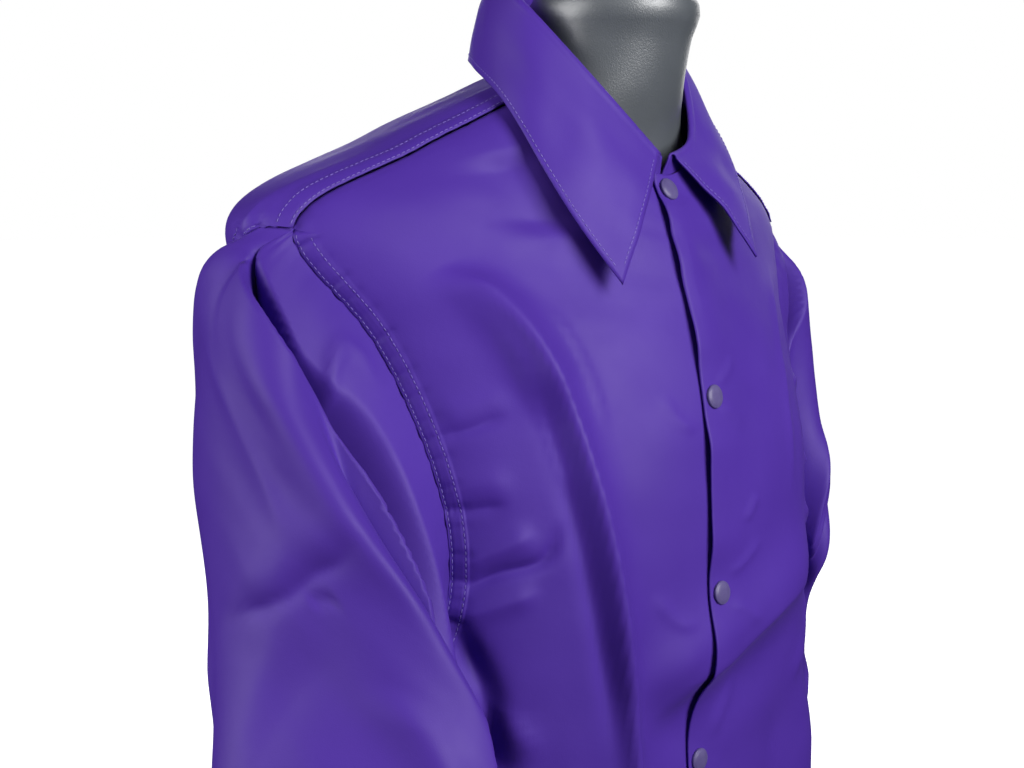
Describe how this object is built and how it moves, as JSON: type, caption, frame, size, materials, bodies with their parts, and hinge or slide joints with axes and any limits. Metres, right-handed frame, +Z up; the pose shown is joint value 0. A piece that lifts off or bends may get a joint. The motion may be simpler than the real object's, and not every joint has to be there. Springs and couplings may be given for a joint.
{
  "type": "snap-front jacket on a torso form",
  "caption": "Light satin nylon jacket with a snap front, pointed collar and forward shoulder seams, draped on a smooth limbless torso form.",
  "frame": {"origin": "centre of the torso form's flat underside", "axes": "+Z up, the jacket faces -Y, the wearer's left is +X"},
  "size_m": [0.639, 0.3407, 0.8903],
  "materials": {
    "purple_nylon": "satin",
    "snap_plastic": "satin",
    "form_skin": "satin"
  },
  "bodies": {
    "root": {"front_left": "purple_nylon", "front_right": "purple_nylon", "back": "purple_nylon", "sleeve_left": "purple_nylon", "sleeve_right": "purple_nylon", "collar": "purple_nylon", "snap_cap_1": "snap_plastic", "snap_cap_2": "snap_plastic", "snap_cap_3": "snap_plastic", "snap_cap_4": "snap_plastic", "snap_cap_5": "snap_plastic", "snap_cap_6": "snap_plastic", "torso_form": "form_skin"}
  },
  "joints": []
}
